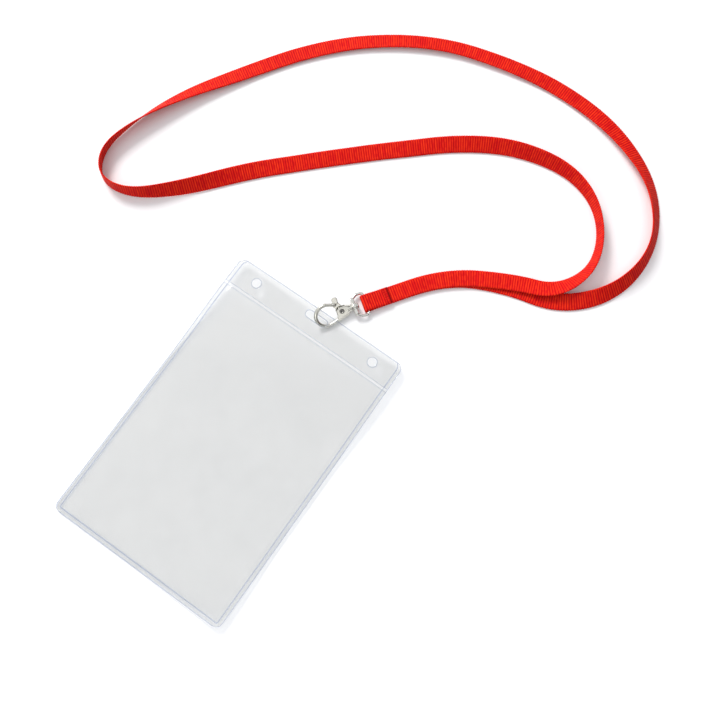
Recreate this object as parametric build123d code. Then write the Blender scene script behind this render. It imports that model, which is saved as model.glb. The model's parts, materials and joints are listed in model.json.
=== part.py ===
"""Lanyard badge holder: a clear badge pouch on a swivel trigger clip and a red woven neck strap.

Millimetres. The pouch lies on its back on the XY plane, its header towards +Y, and the origin is
the centre of its back face. The clip is hooked through the header slot and leans to one side of
it, and the strap is spread round on the same surface.
"""
from build123d import *
from math import asin, cos, degrees, radians, sin, tan
import os

# ---- pouch ----
pouch_width = 112.0
pouch_length = 173.0
corner_radius = 4.0
film = 0.3
weld_width = 3.0
pocket_gap = 0.4
header_depth = 16.0
mouth_gap = 1.7
hole_radius = 2.75
hole_spacing = 80.0
hole_from_edge = 8.0
slot_length = 14.0
slot_width = 4.4
slot_from_edge = 5.5
ramp_start_y = 18.0
ramp_end_y = 64.0

# ---- clip, measured along its own axis from the tip of the hook ----
wire_radius = 1.1
hook_radius = 6.15
nose_angle = 168.0
arm_angle = 16.5
body_half = 1.5
neck_radius = 2.0
neck_end = 21.6
pivot_x = -0.2
pivot_y = 15.2
rivet_radius = 1.0
running_gap = 0.06
pocket_half = 0.95
pin_radius = 1.2
base_near = 22.0
base_far = 24.0
loop_half = 6.6
loop_wire = 0.85
gate_wire = 0.95
gate_reach = 9.9
nose_gap = 0.2
bore_start = 18.6
bar_y = 30.0

# ---- how the clip lies: through the slot, leaning on its right side ----
slot_height = 5.36
clip_lean = 35.0
clip_turn = -35.0
hang_offset = 0.3

# ---- strap ----
strap_width = 10.0
strap_thick = 1.1
fold_gap = 0.1
tab_length = 26.0
flap_length = 14.0
flap_landing = 8.0
tuck_start = 5.0
stitch_rows = (11.6, 13.0)
stitch_count = 5
stitch_length = 1.3
stitch_size = 0.25

slot_y = pouch_length / 2 - slot_from_edge
hook_point = Vector(0, slot_y - hang_offset, slot_height)
bar_height = strap_thick + fold_gap + loop_wire
clip_pitch = -degrees(asin((slot_height - bar_height) / bar_y))
axis_place = Location(hook_point) * Rotation(0, 0, clip_turn) * Rotation(clip_pitch, 0, 0)
clip_place = axis_place * Rotation(0, clip_lean, 0)
bar_point = (axis_place * Location((0, bar_y, 0))).position
tab_place = Location(bar_point) * Rotation(0, 0, clip_turn)
tab_end = (tab_place * Location((0, tab_length, 0))).position
tab_lead = (tab_place * Location((0, tab_length + 22, 0))).position

# The strap's centreline from the sewn end, out along one strand, round the far fold and back
# along the other: both strands end on top of each other at the sewn end.
strap_route = [
    (tab_end.X, tab_end.Y, 0.6), (tab_lead.X, tab_lead.Y, 0.6),
    (76, 160, 0.6), (108, 167, 0.6), (131, 192, 0.6), (135, 227, 0.6), (115, 259, 0.6),
    (79, 277, 0.6), (40, 282, 0.6), (0, 277, 0.6), (-39, 266, 0.6), (-74, 244, 0.6),
    (-102, 216, 0.6), (-126, 180, 0.6), (-147, 146, 0.6), (-159, 116, 0.6), (-163, 92, 0.6),
    (-152, 77, 0.6), (-132, 80, 0.6), (-110, 100, 0.6), (-85, 132, 0.6), (-55, 162, 0.6),
    (-24, 191, 0.6), (8, 219, 0.6), (37, 234, 0.6), (66, 239, 0.6), (90, 232, 0.6),
    (106, 215, 0.6), (112, 193, 1.7), (102, 172, 1.7), (79, 164, 1.7),
    (tab_lead.X, tab_lead.Y, 1.7), (tab_end.X, tab_end.Y, 1.7),
]
lap_run = 27
lap_half = 4.0


def flat_outline(width, bottom, top, radius):
    """Outline of one film, from its bottom edge to its top edge, with the bottom corners round."""
    with BuildSketch() as outline:
        with Locations((0, (bottom + top) / 2)):
            Rectangle(width, top - bottom)
        low_corners = outline.vertices().sort_by(Axis.Y)[:2]
        fillet(low_corners, radius)
    return outline.sketch


def film_slab(low, high):
    """Everything between two heights above the film's rest line, which climbs onto the clip."""
    lift = slot_height - film
    line = [(-pouch_length, 0), (ramp_start_y, 0), (ramp_end_y, lift), (pouch_length, lift)]
    under = [(y, z + low) for y, z in line]
    over = [(y, z + high) for y, z in reversed(line)]
    with BuildSketch(Plane.YZ) as side:
        with BuildLine():
            Polyline(*under, *over, close=True)
        make_face()
    return extrude(side.sketch, pouch_width, both=True)


def upright(outline):
    """An outline carried straight up through every height that the pouch uses."""
    return extrude(Pos(0, 0, -5) * outline, 20)


def header_cuts():
    """The two round holes and the slot of the header."""
    row = pouch_length / 2 - hole_from_edge
    holes = [Pos(side * hole_spacing / 2, row) * Circle(hole_radius) for side in (-1, 1)]
    slot = Pos(0, slot_y) * SlotOverall(slot_length, slot_width)
    return upright(Sketch() + holes + slot)


def make_back_film():
    edge = pouch_length / 2
    with BuildSketch() as outline:
        RectangleRounded(pouch_width, 2 * edge, corner_radius)
    return (upright(outline.sketch) & film_slab(0, film)) - header_cuts()


def make_header_strip():
    edge = pouch_length / 2
    with BuildSketch() as outline:
        with Locations((0, edge - header_depth / 2)):
            Rectangle(pouch_width, header_depth)
        fillet(outline.vertices().sort_by(Axis.Y)[2:], corner_radius)
    return (upright(outline.sketch) & film_slab(film, 2 * film)) - header_cuts()


def make_front_film():
    """The pocket's front: welded down on three sides, raised over the pocket, open at the top."""
    bottom = -pouch_length / 2
    top = pouch_length / 2 - header_depth - mouth_gap
    inset = weld_width
    rim = flat_outline(pouch_width, bottom, top, corner_radius)
    panel = flat_outline(pouch_width - 2 * inset, bottom + inset, top, corner_radius)
    inset += film
    room = flat_outline(pouch_width - 2 * inset, bottom + inset, top + 1, corner_radius)
    welded = upright(rim) & film_slab(film, 2 * film)
    raised = upright(panel) & film_slab(film, 2 * film + pocket_gap)
    pocket = upright(room) & film_slab(film, film + pocket_gap)
    return welded + raised - pocket


def arm_x(y):
    """Distance from the clip's axis to the middle of the hook's straight arm."""
    start_x = hook_radius * cos(radians(arm_angle))
    start_y = hook_radius * (1 + sin(radians(arm_angle)))
    return start_x - (y - start_y) * tan(radians(arm_angle))


def plate(points, low, high):
    """A flat plate between two heights, in the clip's own frame."""
    with BuildSketch(Plane.XY.offset(low)) as outline:
        with BuildLine():
            Polyline(*points, close=True)
        make_face()
    return extrude(outline.sketch, high - low)


def rod(radius, x, y_from, y_to):
    """A round rod along the clip's axis."""
    start = Plane(origin=(x, y_from, 0), z_dir=(0, 1, 0))
    return extrude(start * Circle(radius), y_to - y_from)


def upright_disc(radius, x, y, low, high):
    """A round disc standing on the clip's flat, in the clip's own frame."""
    return extrude(Pos(x, y, low) * Circle(radius), high - low)


def make_hook_body():
    """Casting: the hook's round wire, its arm, and the flat body with the trigger's pocket."""
    arm_end = 19.0
    arm_meets = 11.6
    with BuildLine() as bend:
        arc = CenterArc((0, hook_radius), hook_radius, nose_angle, 360 + arm_angle - nose_angle)
        Line(arc @ 1, (arm_x(arm_end), arm_end))
    nose = Plane(origin=arc @ 0, z_dir=arc % 0)
    wire = sweep(nose * Circle(wire_radius), path=bend.wire())
    with BuildSketch(Plane.XY.offset(-body_half)) as outline:
        with BuildLine():
            Polyline((arm_x(arm_meets), arm_meets), (arm_x(arm_end), arm_end), (2.0, 20.2),
                     (-2.0, 20.2), (-2.8, 17.6), (-2.8, 13.9), (-1.2, 12.0))
            ThreePointArc((-1.2, 12.0), (1.6, 12.5), (arm_x(arm_meets), arm_meets))
        make_face()
    body = extrude(outline.sketch, 2 * body_half)
    body = chamfer(body.edges().filter_by(Plane.XY).filter_by(GeomType.LINE), 0.3)
    pocket = plate([(-6, 10), (1.9, 10), (1.9, 17.6), (-6, 17.6)], -pocket_half, pocket_half)
    neck = rod(neck_radius, 0, arm_end, neck_end)
    nose_side = Pos(-8, 8, 0) * Box(8, 12, 8)
    wire -= nose_side & upright_disc(gate_reach + nose_gap, pivot_x, pivot_y, -3, 3)
    body = wire + (body - pocket) + neck
    body -= upright_disc(rivet_radius, pivot_x, pivot_y, -3, 3)
    return body - rod(pin_radius, 0, bore_start, neck_end + 1)


def make_trigger_gate():
    """The trigger: a round gate that closes the hook, a lever into the body, and a thumb tab."""
    low = -pocket_half + 0.1
    high = 0.05
    bar_from = 6.3
    bar_to = 12.0
    slope = Vector(arm_x(bar_to) - arm_x(bar_from), bar_to - bar_from, 0)
    slope = Vector(-slope.X, slope.Y, 0)
    foot = Plane(origin=(-arm_x(bar_from), bar_from, 0), z_dir=slope)
    gate = extrude(foot * Circle(gate_wire), slope.length)
    gate &= upright_disc(gate_reach, pivot_x, pivot_y, -3, 3)
    gate += Pos(-arm_x(bar_to), bar_to, 0) * Sphere(gate_wire)
    lever = plate([(-5.6, 10.8), (-4.3, 10.6), (-0.2, 13.5), (-0.2, 16.9), (-2.4, 16.4), (-5.6, 14.4)],
                  low, high)
    ear = upright_disc(1.8, pivot_x, pivot_y, low, high)
    tab = extrude(Pos(-7.0, 12.7, -0.55) * RectangleRounded(3.8, 3.3, 1.2), 1.1)
    gate = gate + lever + ear + tab
    return gate - upright_disc(rivet_radius + running_gap, pivot_x, pivot_y, -3, 3)


def make_gate_rivet():
    """Rivet through both cheeks, each end set as a raised ring round a dimple."""
    head = 0.25
    rivet = upright_disc(rivet_radius, pivot_x, pivot_y, -body_half, body_half)
    for side in (-1, 1):
        face = side * body_half
        ends = sorted((face, face + side * head))
        rivet += upright_disc(1.5, pivot_x, pivot_y, *ends)
        rivet -= Pos(pivot_x, pivot_y, face + side * 0.75) * Sphere(0.9)
    return rivet


def make_gate_spring():
    """Torsion spring round the rivet, its legs against the body's pocket and the lever."""
    wire = 0.15
    coil_radius = 1.4
    low = 0.26
    pitch = 0.36
    turns = 1.25
    coil = Helix(pitch, pitch * turns, coil_radius)
    start = Plane(origin=coil @ 0, x_dir=(1, 0, 0), z_dir=coil % 0)
    spring = sweep(start * Circle(wire), path=coil, is_frenet=True)
    low_leg = extrude(start * Circle(wire), -2.0)
    finish = Plane(origin=coil @ 1, z_dir=coil % 1)
    high_leg = extrude(finish * Circle(wire), 1.6)
    return Pos(pivot_x, pivot_y, low) * Rotation(0, 0, 180) * (spring + low_leg + high_leg)


def make_swivel_pin():
    """Headed pin: pressed into the neck, it holds the loop and lets it spin."""
    head_radius = 2.0
    head_near = base_far + 0.1
    head_far = head_near + 1.3
    pin = rod(pin_radius, 0, bore_start, head_near + 0.2)
    head = rod(head_radius, 0, head_near, head_far)
    head = fillet(head.edges().group_by(Axis.Y)[-1], 0.7)
    return pin + head


def make_swivel_loop():
    """Loop: a pierced base with a round collar, and a wire bow that carries the strap's bar."""
    shoulder_y = 26.2
    side_x = loop_half
    foot_x = 4.6
    foot_y = (base_near + base_far) / 2
    path = FilletPolyline((-foot_x, foot_y), (-side_x, shoulder_y), (-side_x, bar_y),
                          (side_x, bar_y), (side_x, shoulder_y), (foot_x, foot_y),
                          radius=[2.5, 1.6, 1.6, 2.5])
    start = Plane(origin=path @ 0, z_dir=path % 0)
    bow = sweep(start * Circle(loop_wire), path=path)
    depth = base_far - base_near
    with BuildPart() as base:
        with Locations((0, foot_y, 0)):
            Box(2 * foot_x + 1.6, depth, 3.0)
        fillet(base.edges().filter_by(Axis.Y), 1.1)
        fillet(base.edges().group_by(Axis.Y)[-1], 0.35)
    collar = rod(2.45, 0, base_near, base_far)
    loop = bow + base.part + collar
    return loop - rod(pin_radius + running_gap, 0, base_near - 1, base_far + 1)


def tab_solid(points_low, points_high):
    """A strip of strap, in the sewn end's frame, between two lines seen from the side."""
    with BuildSketch(Plane.YZ) as side:
        with BuildLine():
            Polyline(*points_low, *reversed(points_high), close=True)
        make_face()
    return extrude(side.sketch, strap_width / 2, both=True)


def make_sewn_end():
    """The strap's end: it comes in along the bottom, turns round the bar, and lies on top."""
    inner = loop_wire + fold_gap
    outer = inner + strap_thick
    turn = Plane.YZ * (Circle(outer) - Circle(inner))
    fold = extrude(turn, strap_width / 2, both=True)
    fold -= Pos(0, 5, 0) * Box(20, 10, 20)
    bottom = tab_solid([(0, -outer), (tab_length, -outer)], [(0, -inner), (tab_length, -inner)])
    step = flap_landing
    end = flap_length
    land = strap_thick - inner
    top = tab_solid([(0, inner), (step, land), (end, land)],
                    [(0, outer), (step, land + strap_thick), (end, land + strap_thick)])
    return fold + bottom + top


def make_tucked_end():
    """The strap's other end, sewn in between the two layers of the first."""
    inner = loop_wire + fold_gap
    low = -inner
    high = strap_thick - inner
    return tab_solid([(tuck_start, low), (tab_length, low)], [(tuck_start, high), (tab_length, high)])


def make_stitching():
    """Two rows of thread across the top layer, near its end."""
    top = 2 * strap_thick - loop_wire - fold_gap
    pitch = (strap_width - 1.2) / stitch_count
    stitches = []
    for row in stitch_rows:
        for index in range(stitch_count):
            across = (index - (stitch_count - 1) / 2) * pitch
            lies = Pos(across, row, top + stitch_size / 2)
            stitches.append(lies * Box(stitch_length, stitch_size * 1.6, stitch_size))
    return stitches


def corner_radii(points):
    """The largest tangent arc at each corner of the route: 0.45 of its shorter run."""
    radii = []
    for before, here, after in zip(points, points[1:], points[2:]):
        run_in = Vector(here) - Vector(before)
        run_out = Vector(after) - Vector(here)
        turn = radians(run_in.get_angle(run_out))
        radii.append(0.45 * min(run_in.length, run_out.length) / tan(turn / 2))
    return radii


def strand(points, radii, level):
    """Flat strap along part of the route, lying on the given level."""
    middle = (level + 0.5) * strap_thick
    flat = [(point[0], point[1], middle) for point in points]
    path = FilletPolyline(*flat, radius=radii)
    start = Plane(origin=path @ 0, x_dir=(0, 0, 1), z_dir=path % 0)
    solid = sweep(start * Rectangle(strap_thick, strap_width), path=path)
    print(f"strand on level {level}: length {path.length:.1f}, "
          f"volume over section times length {solid.volume / (path.length * strap_width * strap_thick):.4f}")
    return solid


def make_strap():
    """The free strap: one strand on the table and, near the sewn end, the other lapped on it."""
    flat = [(x, y, 0) for x, y, z in strap_route]
    radii = corner_radii(flat)
    print("strap radii:", " ".join(f"{radius:.0f}" for radius in radii))
    before = Vector(flat[lap_run])
    after = Vector(flat[lap_run + 1])
    along = (after - before).normalized() * lap_half
    middle = (before + after) * 0.5
    lower_end = tuple(middle + along)
    upper_start = tuple(middle - along)
    lower = strand(flat[:lap_run + 1] + [lower_end], radii[:lap_run], 0)
    upper = strand([upper_start] + flat[lap_run + 1:], radii[lap_run:], 1)
    return lower + upper


def build():
    """Every piece in its place, by node name."""
    stitches = [tab_place * stitch for stitch in make_stitching()]
    return {
        "back_film": make_back_film(),
        "front_film": make_front_film(),
        "header_strip": make_header_strip(),
        "hook_body": clip_place * make_hook_body(),
        "trigger_gate": clip_place * make_trigger_gate(),
        "gate_rivet": clip_place * make_gate_rivet(),
        "gate_spring": clip_place * make_gate_spring(),
        "swivel_pin": clip_place * make_swivel_pin(),
        "swivel_loop": axis_place * make_swivel_loop(),
        "sewn_end": tab_place * make_sewn_end(),
        "tucked_end": tab_place * make_tucked_end(),
        "stitching": Compound(children=stitches),
        "strap": make_strap(),
    }


os.makedirs("parts", exist_ok=True)
for name, solid in build().items():
    export_step(solid, f"parts/{name}.step")
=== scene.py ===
"""Looks of the lanyard badge holder: clear vinyl pouch, nickel trigger clip, red woven neck strap."""
import json
import math

import bpy
import numpy as np
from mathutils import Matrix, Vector
from mathutils.noise import noise


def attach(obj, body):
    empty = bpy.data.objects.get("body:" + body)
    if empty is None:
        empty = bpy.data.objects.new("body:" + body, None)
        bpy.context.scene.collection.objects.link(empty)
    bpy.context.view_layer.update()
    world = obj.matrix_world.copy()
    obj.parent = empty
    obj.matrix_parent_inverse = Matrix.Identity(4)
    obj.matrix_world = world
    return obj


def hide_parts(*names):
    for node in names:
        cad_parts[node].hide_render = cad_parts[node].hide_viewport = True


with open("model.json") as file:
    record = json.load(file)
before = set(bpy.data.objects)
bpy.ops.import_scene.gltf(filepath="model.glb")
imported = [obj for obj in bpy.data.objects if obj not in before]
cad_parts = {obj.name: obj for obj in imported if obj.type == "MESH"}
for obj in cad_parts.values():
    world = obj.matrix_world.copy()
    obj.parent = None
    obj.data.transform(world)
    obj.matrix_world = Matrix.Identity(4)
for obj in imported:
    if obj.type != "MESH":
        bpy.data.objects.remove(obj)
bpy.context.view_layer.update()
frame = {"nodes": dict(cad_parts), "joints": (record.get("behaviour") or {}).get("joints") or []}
scene = bpy.context.scene
mm = 0.001

# ------------------------------------------------------------------------------------------------
# Camera. It looks down on the table from 77 degrees, turned so that the pouch lies towards the
# lower left and the strap sweeps round the upper right.
# ------------------------------------------------------------------------------------------------
look_at = Vector((0.0331, 0.0765, 0.0))
look_distance = 0.5555
look_down = math.radians(77.07)
look_turn = math.radians(35.0)
away = Vector((-math.sin(look_turn), math.cos(look_turn), 0))

camera = bpy.data.objects.new("camera", bpy.data.cameras.new("camera"))
camera.data.lens = 49.4
camera.data.sensor_width = 36
camera.data.clip_start = 0.01
camera.location = look_at - away * look_distance * math.cos(look_down)
camera.location.z = look_distance * math.sin(look_down)
camera.rotation_euler = (math.pi / 2 - look_down, 0, look_turn)
scene.collection.objects.link(camera)
scene.camera = camera

# ------------------------------------------------------------------------------------------------
# Table and light. A pale seamless table, one broad soft key from the upper left, a weaker fill and card,
# and a pale room that darkens towards the right.
# ------------------------------------------------------------------------------------------------


def new_material(name):
    """A node material with its Principled shader, ready for more nodes."""
    material = bpy.data.materials.new(name)
    material.use_nodes = True
    nodes = material.node_tree.nodes
    return material, nodes, material.node_tree.links, nodes["Principled BSDF"]


def mesh_piece(name, points, faces, smooth=True):
    """A mesh object from points in metres and faces by index."""
    mesh = bpy.data.meshes.new(name)
    mesh.from_pydata([tuple(p) for p in points], [], faces)
    mesh.validate()
    if smooth:
        mesh.shade_smooth()
    else:
        mesh.shade_flat()
    piece = bpy.data.objects.new(name, mesh)
    scene.collection.objects.link(piece)
    return piece


floor_half = 2.0
corners = [(-floor_half, -floor_half, 0), (floor_half, -floor_half, 0),
           (floor_half, floor_half, 0), (-floor_half, floor_half, 0)]
table = mesh_piece("table", corners, [(0, 1, 2, 3)], smooth=False)
paper, nodes, links, shader = new_material("white table")
shader.inputs["Base Color"].default_value = (0.90, 0.90, 0.905, 1)
shader.inputs["Roughness"].default_value = 0.7
table.data.materials.append(paper)


def area_light(name, place, aim, size, power, colour):
    """A square soft light that faces a point."""
    light = bpy.data.lights.new(name, "AREA")
    light.size = size
    light.energy = power
    light.color = colour
    lamp = bpy.data.objects.new(name, light)
    lamp.location = place
    lamp.rotation_euler = (Vector(aim) - Vector(place)).to_track_quat("-Z", "Y").to_euler()
    scene.collection.objects.link(lamp)


area_light("key", (-1.7, 0.9, 1.6), (0, 0.1, 0), 0.85, 48.0, (1.0, 0.99, 0.98))
area_light("fill", (0.2, -1.2, 0.9), (0, 0.1, 0), 0.8, 4.0, (0.97, 0.98, 1.0))
area_light("card", (0.96, -0.45, 0.69), (0, 0.1, 0), 0.56, 1.25, (1.0, 1.0, 1.0))

room = bpy.data.worlds.new("room")
room.use_nodes = True
nodes = room.node_tree.nodes
links = room.node_tree.links
sky_place = nodes.new("ShaderNodeTexCoord")
sky_slope = nodes.new("ShaderNodeVectorMath")
sky_slope.operation = "DOT_PRODUCT"
sky_slope.inputs[1].default_value = (-0.54, 0.10, 1.0)
links.new(sky_place.outputs["Generated"], sky_slope.inputs[0])
sky = nodes.new("ShaderNodeValToRGB")
sky.color_ramp.elements[0].position = 0.36
sky.color_ramp.elements[0].color = (0.012, 0.013, 0.014, 1)
sky.color_ramp.elements[1].position = 0.60
sky.color_ramp.elements[1].color = (0.96, 0.975, 1.0, 1)
links.new(sky_slope.outputs["Value"], sky.inputs["Fac"])
links.new(sky.outputs["Color"], nodes["Background"].inputs["Color"])
nodes["Background"].inputs["Strength"].default_value = 0.95
scene.world = room
scene.view_settings.view_transform = "Standard"

# ------------------------------------------------------------------------------------------------
# Neck strap. One length of ribbed red polyester webbing, 10 mm wide. One end turns round the
# loop's bar and lies back on itself; the other is tucked between the two layers. Between them the
# strap lies loose on the table: flat near the clip, and leaning on one edge round its bends.
# ------------------------------------------------------------------------------------------------
strap_half = 5.0 * mm
strap_thick = 1.1 * mm
rib_pitch = 1.4 * mm
rib_height = 0.17 * mm
rings_per_rib = 4

anchors = {joint["name"]: Vector(joint["pos_m"]) for joint in frame["joints"]}
bar_point = anchors["strap_hinge"]
tab_along = Vector((math.sin(look_turn), math.cos(look_turn), 0))
tab_length = 26.0 * mm

# x and y in millimetres, the level that the strap's middle lies at, and its lean in degrees
strap_route = [
    (32.02, 126.42, 0.6, 0), (44.63, 144.44, 0.6, 0),
    (76, 160, 0.6, 0), (108, 167, 0.6, 6), (131, 192, 0.6, 40), (135, 227, 0.6, 68),
    (115, 259, 0.6, 44), (79, 277, 0.6, 12), (40, 282, 0.6, 4), (0, 277, 0.6, 8),
    (-39, 266, 0.6, 16), (-74, 244, 0.6, 10), (-102, 216, 0.6, 4), (-126, 180, 0.6, 10),
    (-147, 146, 0.6, 34), (-159, 116, 0.6, 68), (-163, 92, 0.6, 84), (-152, 77, 0.6, 84),
    (-132, 80, 0.6, 78), (-110, 100, 0.6, 46), (-85, 132, 0.6, 16), (-55, 162, 0.6, 8),
    (-24, 191, 0.6, 10), (8, 219, 0.6, 24), (37, 234, 0.6, 40), (66, 239, 0.6, 60),
    (90, 232, 0.6, 76), (106, 215, 0.6, 80), (112, 193, 1.7, 62), (102, 172, 1.7, 22),
    (79, 164, 1.7, 3), (44.63, 144.44, 1.7, 0), (32.02, 126.42, 1.7, 0),
]


def spline_points(name, controls):
    """Points along the smooth line that a row of control points shapes."""
    curve = bpy.data.curves.new(name, "CURVE")
    curve.dimensions = "3D"
    curve.resolution_u = 48
    spline = curve.splines.new("NURBS")
    spline.points.add(len(controls) - 1)
    for point, place in zip(spline.points, controls):
        point.co = (*place, 1)
    spline.order_u = 3
    spline.use_endpoint_u = True
    holder = bpy.data.objects.new(name, curve)
    scene.collection.objects.link(holder)
    bpy.context.view_layer.update()
    seen = holder.evaluated_get(bpy.context.evaluated_depsgraph_get())
    line = bpy.data.meshes.new_from_object(seen)
    points = np.array([vertex.co[:] for vertex in line.vertices])
    bpy.data.meshes.remove(line)
    bpy.data.objects.remove(holder)
    return points


free_line = spline_points("strap line", [(x * mm, y * mm, z * mm) for x, y, z, lean in strap_route])
lean_marks = [(i * mm, math.radians(mark[3]), 0) for i, mark in enumerate(strap_route)]
free_lean = spline_points("strap lean", lean_marks)[:, 1]


def tab_line(places):
    """Points of the sewn end, from distance along the tab and height above the table."""
    line = spline_points("tab line", [(y * mm, z * mm, 0) for y, z in places])
    under_bar = np.array([*bar_point.xy, 0.0])
    return under_bar + line[:, :1] * np.array(tab_along) + line[:, 1:2] * np.array((0, 0, 1.0))


flap_line = tab_line([(14.2, 2.83), (11, 2.8), (7.5, 2.88), (4.5, 3.2), (1.5, 3.56), (-1.6, 3.56),
                      (-1.72, 2.05), (-1.6, 0.5), (1.5, 0.55), (10, 0.6), (26, 0.6)])
tuck_line = tab_line([(26, 1.7), (14, 1.68), (5, 1.7)])
whole_line = np.vstack([flap_line[:-1], free_line, tuck_line[1:]])
whole_lean = np.concatenate([np.zeros(len(flap_line) - 1), free_lean, np.zeros(len(tuck_line) - 1)])

steps = np.linalg.norm(np.diff(whole_line, axis=0), axis=1)
keep = np.concatenate([[True], steps > 1e-7])
whole_line = whole_line[keep]
whole_lean = whole_lean[keep]
along = np.concatenate([[0], np.cumsum(np.linalg.norm(np.diff(whole_line, axis=0), axis=1))])
strap_length = along[-1]
ring_count = int(strap_length / rib_pitch * rings_per_rib) + 1
ring_at = np.linspace(0, strap_length, ring_count)
ring_centre = np.column_stack([np.interp(ring_at, along, whole_line[:, k]) for k in range(3)])
ring_lean = np.interp(ring_at, along, whole_lean)
ring_tangent = np.gradient(ring_centre, axis=0)
ring_tangent /= np.linalg.norm(ring_tangent, axis=1)[:, None]
# it rocks a little as it runs, and where it leans it stands on its lower edge
from_tab = np.minimum(ring_at, strap_length - ring_at) - 2.5 * tab_length
loose = np.clip(from_tab / tab_length, 0, 1)
ring_lean += loose * np.array([math.radians(5) * noise((run * 21, 0.4, 9.0)) for run in ring_at])
on_edge = strap_half * np.abs(np.sin(ring_lean)) + strap_thick / 2 * np.abs(np.cos(ring_lean))
ring_centre[:, 2] = on_edge + np.maximum(0, ring_centre[:, 2] - strap_thick / 2)


def strap_frames():
    """The strap's width and face directions at each ring, level across and then leaned."""
    upward = (0.0, 0.0, 1.0)
    in_flap = ring_at < along[len(flap_line) - 1]
    sideways = np.cross(upward, ring_tangent)
    sideways[in_flap] = np.cross(upward, np.array(tab_along))
    sideways /= np.linalg.norm(sideways, axis=1)[:, None]
    sideways[in_flap] *= -1
    face = np.cross(ring_tangent, sideways)
    turn_by = ring_lean[:, None]
    width = np.cos(turn_by) * sideways + np.sin(turn_by) * face
    return width, np.cross(ring_tangent, width)


ring_width, ring_face = strap_frames()


def strap_section():
    """Places round the strap's cut end: share of half the width, and which face (1, 0 or -1)."""
    across = [-0.94, -0.8, -0.5, -0.17, 0.17, 0.5, 0.8, 0.94]
    top = [(share, 1.0) for share in across]
    bottom = [(share, -1.0) for share in reversed(across)]
    return top + [(1.0, 0.0)] + bottom + [(-1.0, 0.0)]


def strap_mesh():
    """The strap's rings of points, with its cross ribs raised on both faces."""
    section = strap_section()
    phase = 2 * math.pi * ring_at / rib_pitch
    ridge = np.abs(np.cos(phase / 2)) ** 0.7
    points = []
    ribs = []
    edges = []
    for i in range(ring_count):
        waver = 0.15 * noise((ring_at[i] * 40, 1.5, 0)) * mm
        body = strap_thick / 2 - rib_height
        raised = rib_height * (ridge[i] - 0.25 + 0.25 * noise((ring_at[i] * 900, 0, 3)))
        wide = strap_half - 0.22 * mm + 0.22 * mm * ridge[i]
        centre = ring_centre[i]
        for share, side in section:
            bow = 1 - 0.16 * max(0.0, abs(share) - 0.7) / 0.3
            thick = side * (body * bow + raised)
            points.append(centre + ring_width[i] * (wide * share + waver) + ring_face[i] * thick)
            ribs.append(ridge[i])
            edges.append(abs(share))
    count = len(section)
    faces = []
    for i in range(ring_count - 1):
        for k in range(count):
            near = i * count + k
            side = i * count + (k + 1) % count
            faces.append((near, side, side + count, near + count))
    faces.append(tuple(range(count - 1, -1, -1)))
    faces.append(tuple(range((ring_count - 1) * count, ring_count * count)))
    return points, faces, ribs, edges


def add_values(piece, name, values):
    """A number on each point of a piece, for its material to read."""
    layer = piece.data.attributes.new(name, "FLOAT", "POINT")
    layer.data.foreach_set("value", np.array(values, dtype=np.float32))


def value_node(nodes, name):
    """Reads a number that the mesh carries."""
    reader = nodes.new("ShaderNodeAttribute")
    reader.attribute_name = name
    return reader.outputs["Fac"]


def noise_node(nodes, links, scale, detail, vector=None):
    """A noise pattern at a given scale, in the object's own space."""
    pattern = nodes.new("ShaderNodeTexNoise")
    pattern.inputs["Scale"].default_value = scale
    pattern.inputs["Detail"].default_value = detail
    if vector is None:
        place = nodes.new("ShaderNodeTexCoord")
        vector = place.outputs["Object"]
    links.new(vector, pattern.inputs["Vector"])
    return pattern.outputs["Fac"]


def ramp_node(nodes, links, factor, stops):
    """A colour ramp from places and colours."""
    ramp = nodes.new("ShaderNodeValToRGB")
    marks = ramp.color_ramp.elements
    while len(marks) < len(stops):
        marks.new(0.5)
    for mark, (place, colour) in zip(marks, stops):
        mark.position = place
        mark.color = (*colour, 1)
    links.new(factor, ramp.inputs["Fac"])
    return ramp.outputs["Color"]


def math_node(nodes, links, operation, first, second):
    """One sum on two numbers or sockets."""
    step = nodes.new("ShaderNodeMath")
    step.operation = operation
    for socket, value in zip(step.inputs, (first, second)):
        if isinstance(value, (int, float)):
            socket.default_value = value
        else:
            links.new(value, socket)
    return step.outputs["Value"]


def mix_colours(nodes, links, factor, first, second, blend="MIX"):
    """A mix of two colours, each a colour or a socket."""
    mix = nodes.new("ShaderNodeMix")
    mix.data_type = "RGBA"
    mix.blend_type = blend
    for socket, value in ((mix.inputs[0], factor), (mix.inputs[6], first), (mix.inputs[7], second)):
        if isinstance(value, tuple):
            socket.default_value = (*value, 1)
        elif isinstance(value, float):
            socket.default_value = value
        else:
            links.new(value, socket)
    return mix.outputs[2]


def bump_node(nodes, links, height, strength, distance, normal=None):
    """Surface relief from a height."""
    bump = nodes.new("ShaderNodeBump")
    bump.inputs["Strength"].default_value = strength
    bump.inputs["Distance"].default_value = distance
    links.new(height, bump.inputs["Height"])
    if normal is not None:
        links.new(normal, bump.inputs["Normal"])
    return bump.outputs["Normal"]


points, faces, ribs, edges = strap_mesh()
strap = mesh_piece("neck_strap", points, faces)
add_values(strap, "rib", ribs)
add_values(strap, "edge", edges)
section_count = len(strap_section())
add_values(strap, "run", np.repeat(ring_at, section_count))

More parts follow.
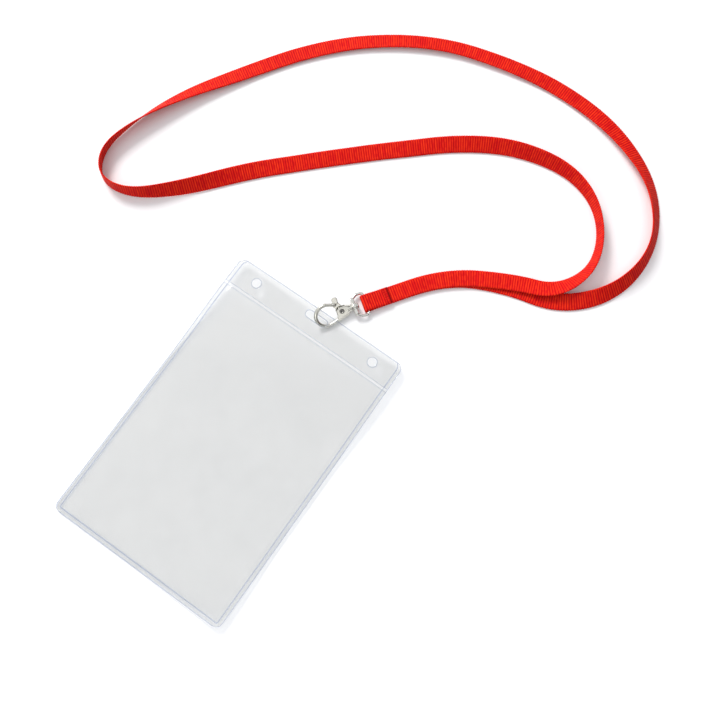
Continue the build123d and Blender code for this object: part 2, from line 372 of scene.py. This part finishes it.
webbing, nodes, links, shader = new_material("red webbing")
rib = value_node(nodes, "rib")
edge = value_node(nodes, "edge")
run = value_node(nodes, "run")
weave_place = nodes.new("ShaderNodeCombineXYZ")
links.new(math_node(nodes, links, "MULTIPLY", run, 3200.0), weave_place.inputs["X"])
links.new(math_node(nodes, links, "MULTIPLY", edge, 26.0), weave_place.inputs["Y"])
yarns = noise_node(nodes, links, 1.0, 2.0, weave_place.outputs["Vector"])
patches = noise_node(nodes, links, 90.0, 3.0)
# Painted light on the ribs: the valleys are painted deep red as shade and the crests bright orange as
# highlight, on top of the ribs' real relief.
rib_painted_light = ramp_node(nodes, links, rib, [(0.0, (0.36, 0.000, 0.006)), (0.5, (0.78, 0.002, 0.007)),
                                           (1.0, (0.98, 0.055, 0.010))])
fade = ramp_node(nodes, links, patches, [(0.25, (0.88, 0.70, 0.80)), (0.75, (1.0, 1.0, 1.0))])
slub_place = nodes.new("ShaderNodeCombineXYZ")
links.new(math_node(nodes, links, "MULTIPLY", run, 520.0), slub_place.inputs["X"])
links.new(math_node(nodes, links, "MULTIPLY", edge, 1.5), slub_place.inputs["Y"])
slubs = noise_node(nodes, links, 1.0, 1.0, slub_place.outputs["Vector"])
slub_tone = ramp_node(nodes, links, slubs, [(0.34, (0.84, 0.30, 0.90)), (0.62, (1.0, 1.0, 1.0))])
yarn_tone = ramp_node(nodes, links, yarns, [(0.3, (0.80, 0.76, 0.76)), (0.7, (1.0, 1.0, 1.0))])
# Painted shadow: the strap's first 0.35 mm from its flap end is painted dark, fading out by 0.75 mm, in
# place of the shadow line at the step where the flap ends.
flap_end_shadow_mask = math_node(nodes, links, "MULTIPLY", run, 1000.0)
flap_end_shadow_tone = ramp_node(nodes, links, flap_end_shadow_mask, [(0.35, (0.22, 0.10, 0.10)), (0.75, (1.0, 1.0, 1.0))])
tone = mix_colours(nodes, links, 1.0, rib_painted_light, fade, "MULTIPLY")
tone = mix_colours(nodes, links, 1.0, tone, slub_tone, "MULTIPLY")
tone = mix_colours(nodes, links, 1.0, tone, yarn_tone, "MULTIPLY")
tone = mix_colours(nodes, links, 1.0, tone, flap_end_shadow_tone, "MULTIPLY")
links.new(tone, shader.inputs["Base Color"])
links.new(bump_node(nodes, links, yarns, 0.35, 0.0002), shader.inputs["Normal"])
shader.inputs["Roughness"].default_value = 0.6
shader.inputs["Specular IOR Level"].default_value = 0.06
shader.inputs["Sheen Weight"].default_value = 0.10
shader.inputs["Sheen Roughness"].default_value = 0.4
shader.inputs["Sheen Tint"].default_value = (1.0, 0.10, 0.03, 1)
strap.data.materials.append(webbing)
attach(strap, "strap")
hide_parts("strap", "sewn_end", "tucked_end")

# ------------------------------------------------------------------------------------------------
# Stitching. Rows of twisted red thread that close the sewn end just short of the flap's cut edge;
# each stitch is a short loop that dips into the webbing at both ends.
# ------------------------------------------------------------------------------------------------
stitch_rows = (11.4, 12.9)
stitches_across = 6
stitch_pitch = 1.5 * mm
thread_radius = 0.16 * mm
tab_right = Vector((tab_along.y, -tab_along.x, 0))


def thread_stitch(centre):
    """Points and faces of one stitch, a bowed round thread with closed ends."""
    rings = 7
    sides = 8
    points = []
    for i in range(rings):
        share = i / (rings - 1) * 2 - 1
        spine = centre + tab_right * (share * 0.56 * mm)
        spine = spine + Vector((0, 0, (0.14 - 0.30 * share ** 4) * mm))
        for k in range(sides):
            angle = 2 * math.pi * k / sides
            twist = 1 + 0.12 * math.sin(3 * angle + i * 1.4)
            spoke = tab_along * math.cos(angle) + Vector((0, 0, math.sin(angle)))
            points.append(spine + spoke * thread_radius * twist)
    faces = []
    for i in range(rings - 1):
        for k in range(sides):
            side = (k + 1) % sides
            faces.append((i * sides + k, i * sides + side, (i + 1) * sides + side, (i + 1) * sides + k))
    faces.append(tuple(range(sides - 1, -1, -1)))
    faces.append(tuple(range((rings - 1) * sides, rings * sides)))
    return points, faces


points = []
faces = []
for row in stitch_rows:
    for number in range(stitches_across):
        across = (number - (stitches_across - 1) / 2) * stitch_pitch
        centre = bar_point + tab_along * (row * mm) + tab_right * across
        centre.z = 3.36 * mm
        more_points, more_faces = thread_stitch(centre)
        faces += [tuple(index + len(points) for index in face) for face in more_faces]
        points += more_points
stitching = mesh_piece("thread_rows", points, faces)
thread, nodes, links, shader = new_material("red thread")
fibres = noise_node(nodes, links, 2500.0, 2.0)
links.new(ramp_node(nodes, links, fibres, [(0.3, (0.24, 0.002, 0.003)), (0.7, (0.48, 0.004, 0.005))]),
          shader.inputs["Base Color"])
links.new(bump_node(nodes, links, fibres, 0.5, 0.00005), shader.inputs["Normal"])
shader.inputs["Roughness"].default_value = 0.55
shader.inputs["Specular IOR Level"].default_value = 0.1
stitching.data.materials.append(thread)
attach(stitching, "strap")
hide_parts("stitching")

# ------------------------------------------------------------------------------------------------
# Trigger clip. The hook, its trigger and the loop are zinc castings, tumbled until their edges are
# soft and then nickel plated; the rivet and the swivel pin are turned steel set in by a press.
# ------------------------------------------------------------------------------------------------


def cast_piece(node, name, voxel, rounds):
    """A casting with soft inner corners: the node's own form, remeshed finely and smoothed."""
    source = frame["nodes"][node]
    mesh = source.data.copy()
    piece = bpy.data.objects.new(name, mesh)
    scene.collection.objects.link(piece)
    mesh.materials.clear()
    weld = piece.modifiers.new("weld", "WELD")
    weld.merge_threshold = 0.002 * mm
    remesh = piece.modifiers.new("skin", "REMESH")
    remesh.mode = "VOXEL"
    remesh.voxel_size = voxel
    soften = piece.modifiers.new("tumble", "SMOOTH")
    soften.factor = 0.5
    soften.iterations = rounds
    bpy.context.view_layer.update()
    seen = piece.evaluated_get(bpy.context.evaluated_depsgraph_get())
    finished = bpy.data.meshes.new_from_object(seen)
    piece.modifiers.clear()
    piece.data = finished
    finished.shade_smooth()
    return piece


def plated_metal(name, colour, dull, rough):
    """Bright plate: fine tumbling marks, and soft patches in its tone and its gloss."""
    material, nodes, links, shader = new_material(name)
    marks = noise_node(nodes, links, 5200.0, 4.0)
    cloud = noise_node(nodes, links, 420.0, 3.0)
    tarnish = ramp_node(nodes, links, cloud, [(0.30, dull), (0.62, colour)])
    links.new(tarnish, shader.inputs["Base Color"])
    gloss = math_node(nodes, links, "MULTIPLY_ADD", cloud, 0.14)
    gloss.node.inputs[2].default_value = rough - 0.05
    links.new(gloss, shader.inputs["Roughness"])
    links.new(bump_node(nodes, links, marks, 0.12, 0.00002), shader.inputs["Normal"])
    shader.inputs["Metallic"].default_value = 1.0
    return material


nickel = plated_metal("nickel plate", (0.70, 0.685, 0.62), (0.56, 0.55, 0.50), 0.13)
bright_nickel = plated_metal("bright nickel", (0.74, 0.73, 0.68), (0.60, 0.59, 0.55), 0.08)
pin_steel = plated_metal("pin steel", (0.30, 0.29, 0.27), (0.13, 0.125, 0.12), 0.18)

for node, name, body, voxel, rounds, slot, finish in (
        ("hook_body", "hook_casting", "hook", 0.16 * mm, 6, "nickel", nickel),
        ("trigger_gate", "trigger_casting", "trigger", 0.12 * mm, 4, "nickel", nickel),
        ("swivel_loop", "loop_casting", "loop", 0.14 * mm, 5, "nickel_wire", bright_nickel)):
    casting = cast_piece(node, name, voxel, rounds)
    casting.data.materials.append(finish)
    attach(casting, body)
    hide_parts(node)

for node, finish in (("gate_rivet", pin_steel), ("gate_spring", pin_steel), ("swivel_pin", bright_nickel)):
    turned = frame["nodes"][node]
    turned.data.materials.clear()
    turned.data.materials.append(finish)
    turned.data.shade_smooth()

# ------------------------------------------------------------------------------------------------
# Pouch. Three sheets of soft clear vinyl, 0.3 mm thick: a full back, a pocket front welded to it
# along both sides and the bottom, and a strip that doubles the header. The welds are pressed lines.
# ------------------------------------------------------------------------------------------------
pouch_half = 56.0 * mm
pouch_bottom = -86.5 * mm
pouch_top = 86.5 * mm
header_bottom = 70.5 * mm
mouth = 68.8 * mm
corner = 4.0 * mm
film = 0.3 * mm
layer_gap = 0.02 * mm
grid_step = 1.6 * mm
weld_line = 2.5 * mm
bead_line = 1.7 * mm
header_lift = 4.9 * mm
hole_y = 78.5 * mm
hole_x = 40.0 * mm
hole_radius = 2.75 * mm
slot_y = 81.0 * mm
slot_half = 4.8 * mm
slot_radius = 2.2 * mm


def smooth_step(low, high, value):
    """0 below low, 1 above high, and a smooth climb between."""
    share = min(1.0, max(0.0, (value - low) / (high - low)))
    return share * share * (3 - 2 * share)


def rest_height(x, y):
    """Underside of the pouch: flat on the table, then up onto the clip, lower at its corners."""
    climb = smooth_step(12 * mm, 70 * mm, y)
    droop = 0.30 * (abs(x) / pouch_half) ** 2.2
    ripple = 0.35 * mm * (1 + noise((x * 28, y * 22, 0.7)))
    ripple += 0.12 * mm * (1 + noise((x * 75, y * 60, 4.0)))
    curl = 1.5 * mm * smooth_step(-10 * mm, pouch_half, x) * smooth_step(-30 * mm, pouch_bottom, y)
    curl += 0.9 * mm * smooth_step(38 * mm, pouch_half, x)
    near_clip = 0.25 + 0.75 * min(1.0, abs(y - slot_y) / (30 * mm))
    return header_lift * climb * (1 - droop) + ripple * near_clip + curl * (1 - climb)


def pocket_rise(x, y):
    """How far the pocket's front stands off the back: nothing at the welds, most at the mouth."""
    from_edge = min(pouch_half - abs(x), y - pouch_bottom)
    bead = 0.10 * mm * math.exp(-((from_edge - bead_line) / (0.3 * mm)) ** 2)
    side = min(1.0, max(0.0, (pouch_half - 3.1 * mm - abs(x)) / (5 * mm)))
    foot = min(1.0, max(0.0, (y - pouch_bottom - 3.1 * mm) / (6 * mm)))
    puff = 0.45 * mm + 0.75 * mm * smooth_step(20 * mm, mouth, y) * (1 - (x / pouch_half) ** 2)
    return bead + puff * math.sin(side * math.pi / 2) * math.sin(foot * math.pi / 2)


def dark_line(x, y, low_y, high_y, holes):
    """1 along the sheet's cut edges and on the pressed line inside its weld, 0 elsewhere."""
    weld = min(pouch_half - abs(x), y - pouch_bottom) - weld_line
    cut = min(pouch_half - abs(x), y - low_y, high_y - y)
    for centre, half_run, radius, reach in holes:
        across = max(0.0, abs(x - centre[0]) - half_run)
        cut = min(cut, abs(math.hypot(across, y - centre[1]) - radius))
    return max(math.exp(-(weld / (0.22 * mm)) ** 2), math.exp(-(cut / (0.3 * mm)) ** 2))


def spread(marks, step):
    """Grid places through the given marks, with even steps between them."""
    places = []
    for low, high in zip(marks, marks[1:]):
        parts = max(1, round((high - low) / step))
        places += [low + (high - low) * i / parts for i in range(parts)]
    return places + [marks[-1]]


def rounded(x, y, low_y, high_y, round_low, round_high):
    """Draws a grid point in to the sheet's round corners."""
    for near_edge, is_round, sign in ((low_y, round_low, 1), (high_y, round_high, -1)):
        deep = (y - near_edge) * sign
        if is_round and deep < corner:
            cut = corner - math.sqrt(max(0.0, corner ** 2 - (corner - deep) ** 2))
            edge_share = max(0.0, (abs(x) - (pouch_half - 2 * corner)) / (2 * corner))
            x = math.copysign(abs(x) - cut * edge_share, x)
    return x, y


def punched(grid, faces, points, xs, ys, centre, half_run, radius, reach):
    """Cuts a round-ended hole in the grid and fills between it and the grid with even rings."""
    left = min(range(len(xs)), key=lambda i: abs(xs[i] - (centre[0] - half_run - reach)))
    right = min(range(len(xs)), key=lambda i: abs(xs[i] - (centre[0] + half_run + reach)))
    low = min(range(len(ys)), key=lambda j: abs(ys[j] - (centre[1] - reach)))
    high = min(range(len(ys)), key=lambda j: abs(ys[j] - (centre[1] + reach)))
    loop = [(i, low) for i in range(left, right)] + [(right, j) for j in range(low, high)]
    loop += [(i, high) for i in range(right, left, -1)] + [(left, j) for j in range(high, low, -1)]
    inside = {(i, j) for i in range(left, right) for j in range(low, high)}
    outer = [grid[place] for place in loop]
    for share in (0.35, 0.65, 0.86, 1.0):
        ring = []
        for place in loop:
            x, y = xs[place[0]], ys[place[1]]
            along_slot = min(half_run, max(-half_run, x - centre[0]))
            out = Vector((x - centre[0] - along_slot, y - centre[1])).normalized() * radius
            near = Vector((centre[0] + along_slot, centre[1])) + out
            ring.append(len(points))
            points.append((x + (near.x - x) * share, y + (near.y - y) * share))
        for k in range(len(loop)):
            after = (k + 1) % len(loop)
            faces.append((outer[k], outer[after], ring[after], ring[k]))
        outer = ring
    return inside


def film_sheet(name, low_y, high_y, x_marks, y_marks, height, round_low, round_high, holes):
    """One vinyl sheet as a closed skin, its top and bottom faces a film's thickness apart."""
    xs = spread(x_marks, grid_step)
    ys = spread(y_marks, grid_step)
    points = []
    grid = {}
    for i, x in enumerate(xs):
        for j, y in enumerate(ys):
            grid[(i, j)] = len(points)
            points.append((x, y))
    faces = []
    gone = set()
    for centre, half_run, radius, reach in holes:
        gone |= punched(grid, faces, points, xs, ys, centre, half_run, radius, reach)
    for i in range(len(xs) - 1):
        for j in range(len(ys) - 1):
            if (i, j) not in gone:
                faces.append((grid[(i, j)], grid[(i + 1, j)], grid[(i + 1, j + 1)], grid[(i, j + 1)]))
    used = sorted({index for face in faces for index in face})
    renumber = {index: count for count, index in enumerate(used)}
    square = [points[index] for index in used]
    lines = [dark_line(x, y, low_y, high_y, holes) for x, y in square]
    flat = [rounded(x, y, low_y, high_y, round_low, round_high) for x, y in square]
    faces = [tuple(renumber[index] for index in face) for face in faces]
    sheet = mesh_piece(name, [(x, y, height(x, y)) for x, y in flat], faces)
    add_values(sheet, "line", lines)
    thicken = sheet.modifiers.new("film", "SOLIDIFY")
    thicken.thickness = film
    thicken.offset = 1.0
    thicken.material_offset_rim = 1
    return sheet


header_holes = [((side * hole_x, hole_y), 0.0, hole_radius, 4.2 * mm) for side in (-1, 1)]
header_holes.append(((0.0, slot_y), slot_half, slot_radius, 3.6 * mm))
edge_marks = [0, 0.2 * mm, 0.45 * mm]
weld_marks = edge_marks + [1.1 * mm, 1.4 * mm, bead_line, 2.0 * mm, 2.3 * mm, weld_line, 2.7 * mm,
                           3.0 * mm]
side_marks = [-pouch_half + inward for inward in weld_marks]
side_marks += [-x for x in reversed(side_marks)]
foot_marks = [pouch_bottom + inward for inward in weld_marks]
top_marks = [pouch_top - inward for inward in reversed(edge_marks)]
mouth_marks = [mouth - inward for inward in reversed(edge_marks)]
header_marks = [header_bottom + inward for inward in edge_marks]
back = film_sheet("back_sheet", pouch_bottom, pouch_top, side_marks,
                  foot_marks + header_marks + top_marks, rest_height, True, True, header_holes)
front = film_sheet("front_sheet", pouch_bottom, mouth, side_marks, foot_marks + mouth_marks,
                   lambda x, y: rest_height(x, y) + film + layer_gap + pocket_rise(x, y),
                   True, False, [])
header = film_sheet("header_sheet", header_bottom, pouch_top, side_marks,
                    header_marks + top_marks,
                    lambda x, y: rest_height(x, y) + film + layer_gap, False, True, header_holes)


def clear_vinyl(name, haze, tint, marked):
    """Soft vinyl: mostly clear, a cool haze, soft gloss, and cloudier where a weld presses it."""
    material, nodes, links, shader = new_material(name)
    shader.inputs["Base Color"].default_value = (0.86, 0.88, 0.90, 1)
    shader.inputs["Roughness"].default_value = 0.35
    shader.inputs["Specular IOR Level"].default_value = 0.5
    clear = nodes.new("ShaderNodeBsdfTransparent")
    clear.inputs["Color"].default_value = (*tint, 1)
    if marked:
        line_tone = ramp_node(nodes, links, value_node(nodes, "line"),
                              [(0.15, tint), (0.9, (0.79, 0.82, 0.89))])
        links.new(line_tone, clear.inputs["Color"])
    gloss = nodes.new("ShaderNodeBsdfGlossy")
    gloss.inputs["Color"].default_value = (1, 1, 1, 1)
    gloss.inputs["Roughness"].default_value = 0.10
    cloud = noise_node(nodes, links, 30.0, 3.0)
    amount = math_node(nodes, links, "MULTIPLY", cloud, haze)
    if marked:
        pressed = math_node(nodes, links, "MULTIPLY", value_node(nodes, "line"), 0.06)
        amount = math_node(nodes, links, "ADD", amount, pressed)
    body = nodes.new("ShaderNodeMixShader")
    links.new(amount, body.inputs[0])
    links.new(clear.outputs[0], body.inputs[1])
    links.new(shader.outputs[0], body.inputs[2])
    glance = nodes.new("ShaderNodeLayerWeight")
    glance.inputs["Blend"].default_value = 0.5
    mirror = math_node(nodes, links, "POWER", glance.outputs["Facing"], 5.0)
    mirror = math_node(nodes, links, "MULTIPLY_ADD", mirror, 0.8)
    mirror.node.inputs[2].default_value = 0.035
    skin = nodes.new("ShaderNodeMixShader")
    links.new(mirror, skin.inputs[0])
    links.new(body.outputs[0], skin.inputs[1])
    links.new(gloss.outputs[0], skin.inputs[2])
    dents = noise_node(nodes, links, 70.0, 2.0)
    wavy = bump_node(nodes, links, dents, 0.15, 0.0004)
    for node in (shader, gloss, glance):
        links.new(wavy, node.inputs["Normal"])
    links.new(skin.outputs[0], nodes["Material Output"].inputs["Surface"])
    return material


vinyl = clear_vinyl("clear vinyl", 0.05, (0.973, 0.9735, 0.971), True)
cut_edge = clear_vinyl("vinyl cut edge", 0.9, (0.70, 0.74, 0.82), False)
for sheet, node in ((back, "back_film"), (front, "front_film"), (header, "header_strip")):
    sheet.data.materials.append(vinyl)
    sheet.data.materials.append(cut_edge)
    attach(sheet, "pouch")
    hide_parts(node)
